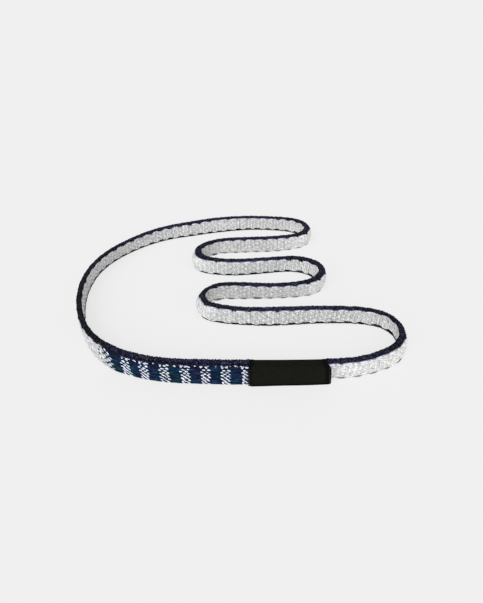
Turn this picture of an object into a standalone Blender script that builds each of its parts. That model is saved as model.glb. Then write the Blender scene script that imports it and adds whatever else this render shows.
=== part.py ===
"""Climbing sling: one narrow webbing strap, lapped and tacked to itself into a closed loop.

The loop stands on its lower edge and is laid in three folds. Units are metres, +Z is up, and the origin is on the
surface that the sling stands on, under the middle of its outline. The near, labelled run faces -Y.
"""

import math

import bmesh
import bpy
import numpy as np
from mathutils import Matrix

MM = 0.001

# Webbing
NOMINAL_LENGTH = 300 * MM
WEBBING_WIDTH = 8.0 * MM
WEBBING_THICKNESS = 2.1 * MM
WEBBING_CHAMFER = 0.3 * MM

# Edge yarns
UPPER_YARN_HEIGHT = 0.9 * MM
UPPER_YARN_CHAMFER = 0.25 * MM
LOWER_YARN_HEIGHT = 0.5 * MM
LOWER_YARN_THICKNESS = 1.7 * MM

# Lapped joint
LAP_LENGTH = 70 * MM
LAP_EASE = 8 * MM
COVER_THICKNESS = 0.35 * MM

# Tacks through the lap
TACK_PITCH = 6.85 * MM
TACK_INSET = 2.6 * MM
TACK_REACH_SHARE = 0.29
TACK_LEG_SHARE = 0.23
TACK_HEIGHT_SHARE = 0.8
THREAD_PROUD = 0.15 * MM

# Label
LABEL_LENGTH = 27.2 * MM
LABEL_OVERHANG = 2.4 * MM
LABEL_WALL = 0.35 * MM
LABEL_CHAMFER = 0.3 * MM
STITCH_WIDTH = 0.5 * MM
STITCH_MARGIN = 0.3 * MM

# Modelling
CLEARANCE = 0.3 * MM
CUT_OVERRUN = 1.0 * MM
WELD_DISTANCE = 0.001 * MM
LONGEST_STEP = 6.0 * MM
TANGENT_REACH = 1.0 * MM
TURN_STEP = math.radians(11)
SAMPLES_PER_SPAN = 40
STEPS_PER_EASE = 8

LOOP_LENGTH = 2 * NOMINAL_LENGTH + math.pi * WEBBING_THICKNESS
LAYER_PITCH = WEBBING_THICKNESS + CLEARANCE
HALF_THICKNESS = WEBBING_THICKNESS / 2
BODY_BOTTOM = LOWER_YARN_HEIGHT + CLEARANCE
BODY_TOP = WEBBING_WIDTH - UPPER_YARN_HEIGHT - CLEARANCE
BODY_MIDDLE = (BODY_BOTTOM + BODY_TOP) / 2
TACK_HEIGHT = (BODY_TOP - BODY_BOTTOM) * TACK_HEIGHT_SHARE
TACK_REACH = TACK_PITCH * TACK_REACH_SHARE
TACK_LEG = TACK_PITCH * TACK_LEG_SHARE

# The strap's course seen from above, as shares of the loop's length. It starts at the strap's outer end, under the
# label, and runs left along the near side, up the left arc, and back through the folds to the near side.
ROUTE_SHARES = [
    (0.055, -0.0942), (0.031, -0.0948), (-0.002, -0.0948), (-0.022, -0.0943), (-0.039, -0.0928),
    (-0.053, -0.0891), (-0.067, -0.0832), (-0.0833, -0.0712), (-0.0970, -0.0510), (-0.1057, -0.0260),
    (-0.1079, -0.0010), (-0.1028, 0.0232), (-0.0875, 0.0488), (-0.0640, 0.0710), (-0.0350, 0.0852),
    (0.000, 0.0935), (0.028, 0.0946), (0.050, 0.0925), (0.0650, 0.0856), (0.0703, 0.0745),
    (0.0650, 0.0622), (0.0500, 0.0550), (0.026, 0.0520), (0.002, 0.0500), (-0.0145, 0.0450),
    (-0.0260, 0.0330), (-0.0238, 0.0218), (-0.0120, 0.0153), (0.006, 0.0138), (0.030, 0.0162),
    (0.0515, 0.0180), (0.0658, 0.0124), (0.0717, 0.0012), (0.0662, -0.0110), (0.0520, -0.0174),
    (0.030, -0.0198), (0.009, -0.0191), (-0.0070, -0.0208), (-0.0165, -0.0295), (-0.0152, -0.0385),
    (-0.0030, -0.0455), (0.018, -0.0477), (0.046, -0.0466), (0.075, -0.0464), (0.0935, -0.0482),
    (0.1052, -0.0545), (0.1092, -0.0680), (0.1032, -0.0802), (0.0902, -0.0882), (0.0730, -0.0930),
]


def remove_objects():
    for thing in list(bpy.data.objects):
        bpy.data.objects.remove(thing, do_unlink=True)


def new_collection(name):
    collection = bpy.data.collections.new(name)
    bpy.context.scene.collection.children.link(collection)
    return collection


def new_material(name, colour, roughness):
    material = bpy.data.materials.new(name)
    material.use_nodes = True
    shader = material.node_tree.nodes["Principled BSDF"]
    shader.inputs["Base Color"].default_value = (*colour, 1.0)
    shader.inputs["Roughness"].default_value = roughness
    shader.inputs["Metallic"].default_value = 0.0
    material.diffuse_color = (*colour, 1.0)
    return material


def spline_bends(spans, points):
    """Second derivatives at the points of a smooth closed curve through them."""
    count = len(points)
    matrix = np.zeros((count, count))
    right = np.zeros((count, 2))
    for i in range(count):
        before, after = spans[i - 1], spans[i]
        left_point, right_point = points[i - 1], points[(i + 1) % count]
        matrix[i, i - 1] = before
        matrix[i, i] = 2 * (before + after)
        matrix[i, (i + 1) % count] = after
        right[i] = 6 * ((right_point - points[i]) / after - (points[i] - left_point) / before)
    return np.linalg.solve(matrix, right)


def closed_course():
    """Fine points along the loop's centre line, with the length run at each, on a curve of the right length."""
    points = np.array(ROUTE_SHARES) * LOOP_LENGTH
    spans = np.linalg.norm(np.roll(points, -1, axis=0) - points, axis=1)
    bends = spline_bends(spans, points)
    fine = []
    for i, span in enumerate(spans):
        j = (i + 1) % len(points)
        for part in np.arange(SAMPLES_PER_SPAN) / SAMPLES_PER_SPAN:
            rest = 1 - part
            line = rest * points[i] + part * points[j]
            bulge = (rest**3 - rest) * bends[i] + (part**3 - part) * bends[j]
            fine.append(line + bulge * span**2 / 6)
    fine = np.array(fine + [fine[0]])
    run = np.concatenate([[0], np.cumsum(np.linalg.norm(np.diff(fine, axis=0), axis=1))])
    scale = LOOP_LENGTH / run[-1]
    fine = fine * scale
    centre = (fine.min(axis=0) + fine.max(axis=0)) / 2
    return fine - centre, run * scale


COURSE, RUN = closed_course()


def middle_of(place):
    """The loop's centre line at a length along it."""
    along = place % LOOP_LENGTH
    return np.array([np.interp(along, RUN, COURSE[:, 0]), np.interp(along, RUN, COURSE[:, 1])])


def outward_of(place):
    """The level direction out of the loop, square to its centre line."""
    tangent = middle_of(place + TANGENT_REACH) - middle_of(place - TANGENT_REACH)
    tangent = tangent / np.linalg.norm(tangent)
    return np.array([-tangent[1], tangent[0]])


def lap_offset(place):
    """How far the strap lies outside the loop's centre line: a layer's pitch over the lap, easing to none."""
    beyond = (place - LAP_LENGTH - CLEARANCE) / LAP_EASE
    part = min(max(beyond, 0.0), 1.0)
    return LAYER_PITCH * (1 - part * part * (3 - 2 * part))


def strap_point(place):
    """The strap's middle at a length along it; the strap runs round the loop once and then on under its own start."""
    return middle_of(place) + outward_of(place) * lap_offset(place)


def stations_round_loop():
    """Lengths along the loop where the strap gets a section: close together where it bends or eases off the lap."""
    steps = np.diff(COURSE, axis=0)
    heading = np.unwrap(np.arctan2(steps[:, 1], steps[:, 0]))
    stations, turned, start = [0.0], 0.0, 0.0
    for i in range(1, len(heading)):
        turned += abs(heading[i] - heading[i - 1])
        if turned >= TURN_STEP or RUN[i] - start >= LONGEST_STEP:
            stations.append(RUN[i])
            turned, start = 0.0, RUN[i]
    ease_start, ease_stop = LAP_LENGTH + CLEARANCE, LAP_LENGTH + CLEARANCE + LAP_EASE
    stations = [station for station in stations if not ease_start - CLEARANCE < station < ease_stop + CLEARANCE]
    stations += [ease_start + LAP_EASE * step / STEPS_PER_EASE for step in range(STEPS_PER_EASE + 1)]
    return sorted(stations)


STATIONS = stations_round_loop()


def places_between(start, stop):
    """The two ends and the stations between them, none closer than the clearance to an end."""
    every = [turn * LOOP_LENGTH + station for turn in (-1, 0, 1) for station in STATIONS]
    inside = [place for place in every if start + CLEARANCE < place < stop - CLEARANCE]
    return [start] + inside + [stop]


def set_as_guide(thing, collection):
    thing.hide_render = True
    thing.display_type = "WIRE"
    collection.objects.link(thing)


def profile_object(name, corners, collection):
    """A closed outline in the section's plane: first value outwards, second value upwards."""
    data = bpy.data.curves.new(name, "CURVE")
    data.dimensions = "2D"
    data.fill_mode = "NONE"
    spline = data.splines.new("POLY")
    spline.points.add(len(corners) - 1)
    for point, (outward, up) in zip(spline.points, corners):
        point.co = (-outward, up, 0, 1)
    spline.use_cyclic_u = True
    thing = bpy.data.objects.new(name, data)
    set_as_guide(thing, collection)
    return thing


def sweep(name, corners, places, point_at, guides):
    """A curve along the given places that carries the section, turned into one welded mesh."""
    data = bpy.data.curves.new(name, "CURVE")
    data.dimensions = "3D"
    data.twist_mode = "Z_UP"
    data.use_fill_caps = True
    data.bevel_mode = "OBJECT"
    data.bevel_object = profile_object(name + "_section", corners, guides)
    spline = data.splines.new("POLY")
    spline.points.add(len(places) - 1)
    for point, place in zip(spline.points, places):
        x, y = point_at(place)
        point.co = (x, y, 0, 1)
    return mesh_from_curve(name, data)


def mesh_from_curve(name, data):
    thing = bpy.data.objects.new(name + "_curve", data)
    bpy.context.scene.collection.objects.link(thing)
    bpy.context.view_layer.update()
    evaluated = thing.evaluated_get(bpy.context.evaluated_depsgraph_get())
    mesh = bpy.data.meshes.new_from_object(evaluated)
    mesh.name = name
    matrix = thing.matrix_world.copy()
    bpy.data.objects.remove(thing, do_unlink=True)
    shape = bmesh.new()
    shape.from_mesh(mesh)
    bmesh.ops.remove_doubles(shape, verts=shape.verts, dist=WELD_DISTANCE)
    bmesh.ops.recalc_face_normals(shape, faces=shape.faces)
    shape.to_mesh(mesh)
    shape.free()
    result = bpy.data.objects.new(name, mesh)
    result.matrix_world = matrix
    return result


def rectangle(inner, outer, bottom, top, chamfer=0.0):
    """Section corners of a bar, with its four corners cut if a chamfer is given."""
    if chamfer == 0:
        return [(inner, bottom), (outer, bottom), (outer, top), (inner, top)]
    return [
        (inner + chamfer, bottom), (outer - chamfer, bottom), (outer, bottom + chamfer), (outer, top - chamfer),
        (outer - chamfer, top), (inner + chamfer, top), (inner, top - chamfer), (inner, bottom + chamfer),
    ]


def add_part(thing, collection, material):
    thing.data.materials.clear()
    thing.data.materials.append(material)
    collection.objects.link(thing)
    return thing


def add_cut(thing, cutter):
    cut = thing.modifiers.new(cutter.name, "BOOLEAN")
    cut.operation = "DIFFERENCE"
    cut.solver = "EXACT"
    cut.object = cutter


def joined(name, things, collection):
    """One cutter object made of several closed bodies that stay clear of each other."""
    shape = bmesh.new()
    for thing in things:
        piece = thing.data.copy()
        piece.transform(thing.matrix_world)
        shape.from_mesh(piece)
        bpy.data.meshes.remove(piece)
        bpy.data.objects.remove(thing, do_unlink=True)
    mesh = bpy.data.meshes.new(name)
    shape.to_mesh(mesh)
    shape.free()
    result = bpy.data.objects.new(name, mesh)
    set_as_guide(result, collection)
    return result


def prism(name, outline, place, inner, outer):
    """An outline in the strap's face, extruded square to it from one depth to another at a length along the loop.

    The outline's first value runs along the strap and its second value up; depths count outwards from the middle.
    """
    data = bpy.data.curves.new(name, "CURVE")
    data.dimensions = "2D"
    data.fill_mode = "BOTH"
    data.extrude = (outer - inner) / 2
    spline = data.splines.new("POLY")
    spline.points.add(len(outline) - 1)
    for point, (along, up) in zip(spline.points, outline):
        point.co = (along, up, 0, 1)
    spline.use_cyclic_u = True
    thing = mesh_from_curve(name, data)
    outward = outward_of(place)
    x, y = middle_of(place) + outward * (inner + outer) / 2
    along = (outward[1], -outward[0])
    thing.matrix_world = Matrix((
        (along[0], 0, -outward[0], x),
        (along[1], 0, -outward[1], y),
        (0, 1, 0, 0),
        (0, 0, 0, 1),
    ))
    return thing


def chevron(spread):
    """Outline of one tack, its point towards the inner end of the lap, grown by a clearance all round."""
    half_height = TACK_HEIGHT / 2
    slant = math.hypot(TACK_REACH, half_height) / half_height
    half_leg = TACK_LEG / 2 + spread * slant
    rise = half_height + spread
    tip, tail = TACK_REACH / 2, -TACK_REACH / 2 - spread * TACK_REACH / half_height
    middle = BODY_MIDDLE
    return [
        (tip + half_leg, middle), (tail + half_leg, middle + rise), (tail - half_leg, middle + rise),
        (tip - half_leg, middle), (tail - half_leg, middle - rise), (tail + half_leg, middle - rise),
    ]


def stitch_bar(spread):
    """Outline of one upright stitch row, grown by a clearance all round."""
    half = STITCH_WIDTH / 2 + spread
    bottom = BODY_BOTTOM + STITCH_MARGIN + CLEARANCE - spread
    top = BODY_TOP - STITCH_MARGIN - CLEARANCE + spread
    return [(half, bottom), (half, top), (-half, top), (-half, bottom)]


def tack_places():
    """Middles of the tacks, from the one just past the lap's inner end back to the strap's outer end."""
    first = LAP_LENGTH - TACK_INSET + TACK_PITCH
    count = int((first - TACK_INSET) // TACK_PITCH) + 1
    return [first - i * TACK_PITCH for i in range(count)]


def label_span():
    return -LABEL_OVERHANG, LABEL_LENGTH - LABEL_OVERHANG


def stitch_places():
    """One row past the strap's outer end, and one midway between the two tacks nearest the label's other end."""
    last = label_span()[1] - STITCH_WIDTH / 2 - 2 * CLEARANCE
    between = [place + TACK_PITCH / 2 for place in tack_places()]
    return [-LABEL_OVERHANG / 2, max(place for place in between if place <= last)]


def outer_cover_span():
    """From the strap's outer end to just short of the tack that lies past the lap."""
    slot_tail = min(along for along, up in chevron(CLEARANCE))
    return 0.0, tack_places()[0] + slot_tail - 2 * CLEARANCE


def inner_cover_span():
    """The lap's length on the strap's inner layer."""
    return LOOP_LENGTH, LOOP_LENGTH + LAP_LENGTH


def build_webbing(parts, guides, material, cutters):
    places = places_between(0.0, LOOP_LENGTH + LAP_LENGTH)
    corners = rectangle(-HALF_THICKNESS, HALF_THICKNESS, BODY_BOTTOM, BODY_TOP, WEBBING_CHAMFER)
    webbing = add_part(sweep("webbing_strap", corners, places, strap_point, guides), parts, material)
    for cutter in cutters:
        add_cut(webbing, cutter)


def build_edge_yarns(parts, guides, material):
    places = places_between(0.0, LOOP_LENGTH + LAP_LENGTH)
    top, bottom = WEBBING_WIDTH, WEBBING_WIDTH - UPPER_YARN_HEIGHT
    cut = UPPER_YARN_CHAMFER
    upper = [
        (-HALF_THICKNESS, bottom), (HALF_THICKNESS, bottom), (HALF_THICKNESS, top - cut),
        (HALF_THICKNESS - cut, top), (-HALF_THICKNESS + cut, top), (-HALF_THICKNESS, top - cut),
    ]
    add_part(sweep("upper_edge_yarns", upper, places, strap_point, guides), parts, material["upper"])
    half = LOWER_YARN_THICKNESS / 2
    lower = rectangle(-half, half, 0.0, LOWER_YARN_HEIGHT)
    add_part(sweep("lower_edge_yarns", lower, places, strap_point, guides), parts, material["lower"])


def cover_sections():
    """Section of the cover on the lap's outer face and on its inner face."""
    face, depth = HALF_THICKNESS, HALF_THICKNESS - COVER_THICKNESS
    return {
        "outer": rectangle(depth, face, BODY_BOTTOM, BODY_TOP),
        "inner": rectangle(-face, -depth, BODY_BOTTOM, BODY_TOP),
    }


def build_recesses(guides):
    """Shallow cuts in the strap's faces that the covers lie in."""
    face = HALF_THICKNESS + CUT_OVERRUN
    depth = HALF_THICKNESS - COVER_THICKNESS - CLEARANCE
    low, high = BODY_BOTTOM - CUT_OVERRUN, BODY_TOP + CUT_OVERRUN
    start, stop = outer_cover_span()
    places = places_between(start - CUT_OVERRUN, stop + CLEARANCE)
    outer = sweep("outer_recess", rectangle(depth, face, low, high), places, strap_point, guides)
    start, stop = inner_cover_span()
    places = places_between(start - CLEARANCE, stop + CUT_OVERRUN)
    inner = sweep("inner_recess", rectangle(-face, -depth, low, high), places, strap_point, guides)
    return joined("cover_recesses", [outer, inner], guides)


def build_covers(parts, guides, materials, slots):
    sections = cover_sections()
    for side, span in (("outer", outer_cover_span()), ("inner", inner_cover_span())):
        name = "joint_cover_" + side
        cover = sweep(name, sections[side], places_between(*span), strap_point, guides)
        add_cut(add_part(cover, parts, materials[side]), slots)


def tack_depths(place):
    """Inner and outer depth of a tack: through both layers of the lap, or through the strap alone past its end."""
    offset = lap_offset(place)
    inner = -HALF_THICKNESS if place < LAP_LENGTH else offset - HALF_THICKNESS
    return inner - THREAD_PROUD, offset + HALF_THICKNESS + THREAD_PROUD


def tack_slots():
    """Openings that the tacks pass through."""
    cutters = []
    for i, place in enumerate(tack_places()):
        inner, outer = tack_depths(place)
        low, high = inner - CUT_OVERRUN, outer + CUT_OVERRUN
        cutters.append(prism(f"tack_slot_{i:02d}", chevron(CLEARANCE), place, low, high))
    return cutters


def stitch_slots():
    """Openings that the label's stitch rows pass through."""
    inner, outer = stitch_depths()
    low, high = inner - CUT_OVERRUN, outer + CUT_OVERRUN
    return [
        prism(f"stitch_slot_{i:02d}", stitch_bar(CLEARANCE), place, low, high)
        for i, place in enumerate(stitch_places())
    ]


def build_tacks(parts, material):
    for i, place in enumerate(tack_places()):
        inner, outer = tack_depths(place)
        name = f"joint_tack_{i + 1:02d}"
        add_part(prism(name, chevron(0.0), place, inner, outer), parts, material)


def label_room():
    """Half the space inside the folded label: the two layers, the proud tacks and a clearance."""
    return LAYER_PITCH / 2 + HALF_THICKNESS + THREAD_PROUD + CLEARANCE


def stitch_depths():
    """Inner and outer depth of a stitch row, proud of both of the label's panels."""
    reach = label_room() + LABEL_WALL + THREAD_PROUD
    return LAYER_PITCH / 2 - reach, LAYER_PITCH / 2 + reach


def label_point(place):
    return middle_of(place) + outward_of(place) * LAYER_PITCH / 2


def build_label(parts, guides, material, slots):
    """A strip folded over the upper edge of both layers, open along the lower edge."""
    room = label_room()
    out, top = room + LABEL_WALL, WEBBING_WIDTH + CLEARANCE + LABEL_WALL
    cut = LABEL_CHAMFER
    corners = [
        (-out, 0), (-out, top - cut), (-out + cut, top), (out - cut, top), (out, top - cut), (out, 0),
        (room, 0), (room, top - LABEL_WALL), (-room, top - LABEL_WALL), (-room, 0),
    ]
    label = sweep("label_strip", corners, places_between(*label_span()), label_point, guides)
    add_cut(add_part(label, parts, material), slots)


def build_label_stitching(parts, material):
    inner, outer = stitch_depths()
    for side, place in zip(("right", "left"), stitch_places()):
        bar = prism("label_stitching_" + side, stitch_bar(0.0), place, inner, outer)
        add_part(bar, parts, material)


def centre_on_origin(parts):
    """Move everything so that the parts' outline has its middle over the origin."""
    corners = [
        thing.matrix_world @ vertex.co for thing in parts.objects for vertex in thing.data.vertices
    ]
    x = (min(corner.x for corner in corners) + max(corner.x for corner in corners)) / 2
    y = (min(corner.y for corner in corners) + max(corner.y for corner in corners)) / 2
    for thing in bpy.data.objects:
        thing.matrix_world = Matrix.Translation((-x, -y, 0)) @ thing.matrix_world


def main():
    remove_objects()
    parts = new_collection("climbing_sling")
    guides = new_collection("cutters_and_sections")
    white = new_material("webbing_white", (0.68, 0.68, 0.66), 0.6)
    upper = new_material("edge_yarn_navy", (0.012, 0.011, 0.03), 0.7)
    lower = new_material("lower_yarn_navy", (0.03, 0.03, 0.05), 0.7)
    outer_blue = new_material("cover_blue", (0.008, 0.03, 0.1), 0.6)
    inner_blue = new_material("inner_cover_blue", (0.008, 0.028, 0.09), 0.6)
    thread = new_material("tack_thread_white", (0.75, 0.76, 0.78), 0.5)
    black = new_material("label_black", (0.012, 0.012, 0.01), 0.65)
    black_thread = new_material("label_thread_black", (0.02, 0.02, 0.02), 0.55)
    recesses = build_recesses(guides)
    thread_slots = joined("thread_slots", tack_slots() + stitch_slots(), guides)
    label_slots = joined("label_slots", stitch_slots(), guides)
    build_webbing(parts, guides, white, [recesses, thread_slots])
    build_edge_yarns(parts, guides, {"upper": upper, "lower": lower})
    build_covers(parts, guides, {"outer": outer_blue, "inner": inner_blue}, thread_slots)
    build_tacks(parts, thread)
    build_label(parts, guides, black, label_slots)
    build_label_stitching(parts, black_thread)
    bpy.context.view_layer.update()
    centre_on_origin(parts)


main()
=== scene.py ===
"""Climbing sling: the looks of one narrow woven strap, lapped and tacked to itself into a closed loop.

Each piece is laid out on the strap in two measures: a place, which is a length along the strap from its
outer end, and a reach, which is a length from the middle of the strap's upper edge down the outer face
(positive) or down the inner face (negative). A side is 1 for the outer face and -1 for the inner one.
Units are metres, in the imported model's frame.
"""

from math import pi, radians, sin

import bpy
import numpy as np
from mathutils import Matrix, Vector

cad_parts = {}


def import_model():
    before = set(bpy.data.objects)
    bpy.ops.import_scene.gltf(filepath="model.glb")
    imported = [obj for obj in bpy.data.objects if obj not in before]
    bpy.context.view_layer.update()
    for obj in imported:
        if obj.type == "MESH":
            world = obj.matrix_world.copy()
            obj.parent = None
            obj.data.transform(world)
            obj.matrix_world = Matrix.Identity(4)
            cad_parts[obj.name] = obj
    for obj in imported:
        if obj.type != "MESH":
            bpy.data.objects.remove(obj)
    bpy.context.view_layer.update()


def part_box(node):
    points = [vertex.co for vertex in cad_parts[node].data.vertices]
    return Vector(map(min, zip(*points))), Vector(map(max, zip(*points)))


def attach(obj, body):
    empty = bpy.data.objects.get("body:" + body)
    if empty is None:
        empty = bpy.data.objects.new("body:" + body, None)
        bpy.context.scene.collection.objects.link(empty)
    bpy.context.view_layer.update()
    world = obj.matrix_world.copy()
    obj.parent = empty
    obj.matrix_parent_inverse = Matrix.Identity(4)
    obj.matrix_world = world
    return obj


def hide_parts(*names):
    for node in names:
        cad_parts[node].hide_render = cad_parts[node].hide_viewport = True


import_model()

MM = 0.001
CHANCE = np.random.default_rng(8)
FACES = {1: "outer", -1: "inner"}

# Camera, fitted to the photograph
CAMERA_PLACE = (5.514 * MM, -137.740 * MM, 98.156 * MM)
CAMERA_PITCH = radians(38)
CAMERA_LENS = 21.12
CAMERA_SENSOR = 36.0

# Strap, as in the part's source
NOMINAL_LENGTH = 300 * MM
WEBBING_WIDTH = 8.0 * MM
WEBBING_THICKNESS = 2.1 * MM
LAP_LENGTH = 70 * MM
CLEARANCE = 0.3 * MM
TACK_PITCH = 6.85 * MM
TACK_INSET = 2.6 * MM
LABEL_LENGTH = 27.2 * MM
LABEL_OVERHANG = 2.4 * MM
SAMPLES_PER_SPAN = 40

LOOP_LENGTH = 2 * NOMINAL_LENGTH + pi * WEBBING_THICKNESS
STRAP_LENGTH = LOOP_LENGTH + LAP_LENGTH
LAYER_PITCH = WEBBING_THICKNESS + CLEARANCE
HALF_THICKNESS = WEBBING_THICKNESS / 2

# The loop's centre line, as in the part's source: points across and away, in ten-thousandths of its length
ROUTE = [
    (550, -942), (310, -948), (-20, -948), (-220, -943), (-390, -928), (-530, -891), (-670, -832),
    (-833, -712), (-970, -510), (-1057, -260), (-1079, -10), (-1028, 232), (-875, 488), (-640, 710),
    (-350, 852), (0, 935), (280, 946), (500, 925), (650, 856), (703, 745), (650, 622), (500, 550),
    (260, 520), (20, 500), (-145, 450), (-260, 330), (-238, 218), (-120, 153), (60, 138), (300, 162),
    (515, 180), (658, 124), (717, 12), (662, -110), (520, -174), (300, -198), (90, -191), (-70, -208),
    (-165, -295), (-152, -385), (-30, -455), (180, -477), (460, -466), (750, -464), (935, -482),
    (1052, -545), (1092, -680), (1032, -802), (902, -882), (730, -930),
]
ROUTE_UNIT = 0.0001 * LOOP_LENGTH
LOOP_SAMPLES = 4096
TANGENT_SAMPLES = 4

# Section of the woven strap, without the floats that stand proud of it
CORE_HALF = 0.98 * MM
CORE_STATIONS = 1000
SECTION_SAMPLES = 800

# A bend of this radius or less counts as a full one
BEND_RADIUS = 8.0 * MM
BEND_BLUR = 3.5 * MM

# How far the strap lies outside the centre line: place in mm, and its top and its foot in tenths of a mm
LEANS = [
    (34, 0, 0), (50, -1, -2), (58, -1, -3), (68, 1, -2), (80, 0, 3), (92, -1, 5), (104, -1, 4),
    (116, -1, 5), (132, 1, 11), (142, 3, 19), (152, 4, 23), (161, 4, 23), (171, 5, 20), (182, 6, 13),
    (192, 3, 4), (202, -3, -10), (212, 2, -10), (221, 6, -8), (231, 9, 0), (241, 9, 8), (251, 4, 5),
    (261, 7, 3), (271, 5, 9), (281, 0, 7), (290, -4, 0), (300, -5, 5), (311, -2, 4), (321, -4, 5),
    (331, -7, -8), (340, -3, -9), (350, 3, -5), (361, 5, -1), (371, 3, -2), (381, 5, 2), (391, 1, 3),
    (401, 7, 8), (411, 8, 6), (421, -5, -1), (431, -2, -7), (441, 0, -12), (451, -3, -11), (461, -4, -1),
    (471, -6, -7), (480, 0, -10), (491, 4, -1), (501, 1, 1), (511, 0, -7), (521, -1, -5), (531, 1, 2),
    (541, 0, 4), (551, 0, 6), (561, 3, 20), (571, -1, 14), (581, -4, 8), (591, 0, 5), (601, -1, 3),
    (607, 0, 0),
]
LEAN_BLUR = 5.0 * MM

# Place in mm, the share by which the strap spreads there, and its belly at mid height in mm
SPREADS = [
    (262, 0, 1.25), (269, 0.5, 1.25), (284, 0.5, 1.25), (291, 0, 1.25),
    (330, 0, 1.25), (337, 0.65, 1.6), (352, 0.65, 1.6), (360, 0.1, 1.25), (390, 0, 1.25),
    (400, 0.3, 1.1), (408, 0.45, 1.0), (424, 0.45, 1.0), (431, 0, 1.25), (468, 0, 1.3),
    (476, 0, 1.9), (488, 0, 1.9), (496, 0, 1.3), (555, 0, 1.25), (562, 0.12, 1.25),
    (574, 0.12, 1.25), (580, 0, 1.25),
]

# How much further the dark edge yarns reach down the faces: place in mm, reach in hundredths of a mm
DARKS = [
    (130, 0), (151, 20), (161, 40), (171, 50), (181, 50), (191, 80), (201, 30), (211, 15), (221, -25),
    (231, -35), (241, -20), (251, 0), (296, 0), (301, -10), (321, 0), (331, 15), (341, 0), (347, -60),
    (353, -30), (361, -20), (381, -15), (391, 20), (401, 50), (411, 40), (419, 0), (431, -20), (441, 0),
    (461, 10), (477, 0), (483, -40), (491, -25), (501, 5), (511, -25), (521, -35), (531, -15), (551, -5),
    (571, 0), (581, -30), (601, -15), (607, 0),
]

# The tacks' threads thicken both layers of the lap, from past the label on
LAP_END_EASE = 6 * MM
LAP_MARGIN = 1.0 * MM
OUTER_LAP_MARGIN = 1.2 * MM
LAP_SWELL = 0.34 * MM
LAP_FOOT_SWELL = -0.12 * MM
SWELL_START = 18 * MM
SWELL_FULL = 28 * MM

# Past the lap's inner end the outer layer closes in, sooner along its upper edge than along its foot
TOP_EASE = 9 * MM
FOOT_EASE = 26 * MM

# White weave: columns of floats in rows, seen from above down
WEAVE_REPEAT = LOOP_LENGTH / 103
COLUMNS = 3
FLOAT_PITCH = WEAVE_REPEAT / COLUMNS
ROW_PITCH = 0.79 * MM
LOWEST_ROW = 1.22 * MM
ROW_COUNT = 8
FLOAT_LENGTH = 1.3 * MM
FLOAT_WIDTH = 0.8 * MM
FLOAT_HEIGHT = 0.21 * MM
FLOAT_SLANTS = {1: radians(14), -1: radians(34)}
FLOAT_SIZES = (1.35, 0.95, 0.8)
# Tones by kind are painted light: a painted highlight on proud floats, painted shade on lower ones
FLOAT_TONES = (0.6, 0.05, -0.1)
LOW_FLOAT_SIZE = 0.62
LOW_FLOAT_TONE = -0.15
FLOAT_INSET = 2 * MM
FLOAT_SINK = 0.05 * MM
FLOAT_JITTER = (0.2 * MM, 0.07 * MM, 0.15, 0.12, 0.3, radians(12), 0.28)

# Tone of the white floats on straight stretches, and what bends and the lap add to it: painted light
STRAIGHT_TONE = 0.40
STRETCHED_TONE = {1: 0.6, -1: 0.35}
FOLDED_TONE = 0.8
NEAR_LAP_TONE = 0.28
NEAR_LAP_REACH = 60 * MM
FACING_GAIN = 1.4

# Painted shade: how much greyer the outer face is past the joint: place in mm, and tone
JOINT_SHADES = [(84, 0.26), (98, 0.60), (112, 0.65), (140, 0.0)]

# Paler floats that fill in between the dips of the dark edge: length, width, slant, size and tone
LOBE_REACH = 1.95 * MM
LOBE = (2.9 * MM, 0.8 * MM, radians(-9), 1.15, 0.3)

# Dark yarns of the upper edge
WRAP_START = 0.5 * MM
WRAP_STOP = STRAP_LENGTH - 0.3 * MM
WRAP_PITCH = 0.92 * MM
WRAP_WIDTH = 1.2 * MM
WRAP_HEIGHT = 0.33 * MM
COVERED_WRAP_SHARE = 0.2
WRAP_SLANT = radians(62)
WRAP_REACH = 1.18 * MM
WRAP_PLACE_JITTER = 0.12 * MM
WRAP_JITTER = (0.07 * MM, 0.07 * MM, 0.15, 0.35, radians(7))
LUMP_DEPTH = 1.0 * MM
LUMP_SHARPNESS = 1.6
LUMP_SHIFTS = {1: 0.0, -1: 1.1 * MM}
DIP_DEPTHS = (0.55, 1.2)
DIP_COUNT = 200
JOINT_WRAP_REACH = 1.05 * MM
JOINT_WRAP_END = 0.1 * MM
JOINT_END_RISE = 0.2 * MM
JOINT_END_EASE = 3 * MM
WEAVE_START = 76 * MM
WEAVE_START_EASE = 6 * MM
TOP_HALF = 0.8 * MM
UNDER_WRAPS_REACH = 1.2 * MM
UNDER_WRAPS_FADE = 0.4 * MM

# Tones of the dark yarns: darker by painted shade where the strap turns, and on the long arc at the left
WRAP_TONES = (0.3, 0.8)
TURNED_PAINTED_SHADE = 0.5
TURNED_BEND = 0.35
ARC_PAINTED_SHADE = 0.65
ARC_START = 68 * MM
ARC_END = 165 * MM
ARC_FADE = 15 * MM

# Dark dashes of the lower edge, faint outside, and a thinner, greyer line between them on the inner face
DASH_LENGTH = 3.8 * MM
DASH_HEIGHT = 0.42 * MM
DASH_LEVEL = 0.4 * MM
DASH_SHIFT = 1.8 * MM
DASH_SLANT = radians(3)
DASH_INSET = 3 * MM
BARE_END = 100 * MM
DARK_DASH_TONE = 0.04
DASH_TONE_SPREAD = (-0.06, 0.12)
FAINT_DASH_SHARE = 0.72
DASH_JITTER = (0.3 * MM, 0.15, 0.12, radians(3))

# Their side, shift along the repeat, length, width, level, and the share of faint ones with their tone
DASH_KINDS = [
    (1, 0.0, DASH_LENGTH, 1.15 * MM, DASH_LEVEL, 0.85, 0.75),
    (-1, 0.0, DASH_LENGTH, 1.5 * MM, 0.58 * MM, 0.05, 0.04),
    (-1, WEAVE_REPEAT / 2, 3.6 * MM, 0.8 * MM, 0.28 * MM, 1.0, 0.14),
]

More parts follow.
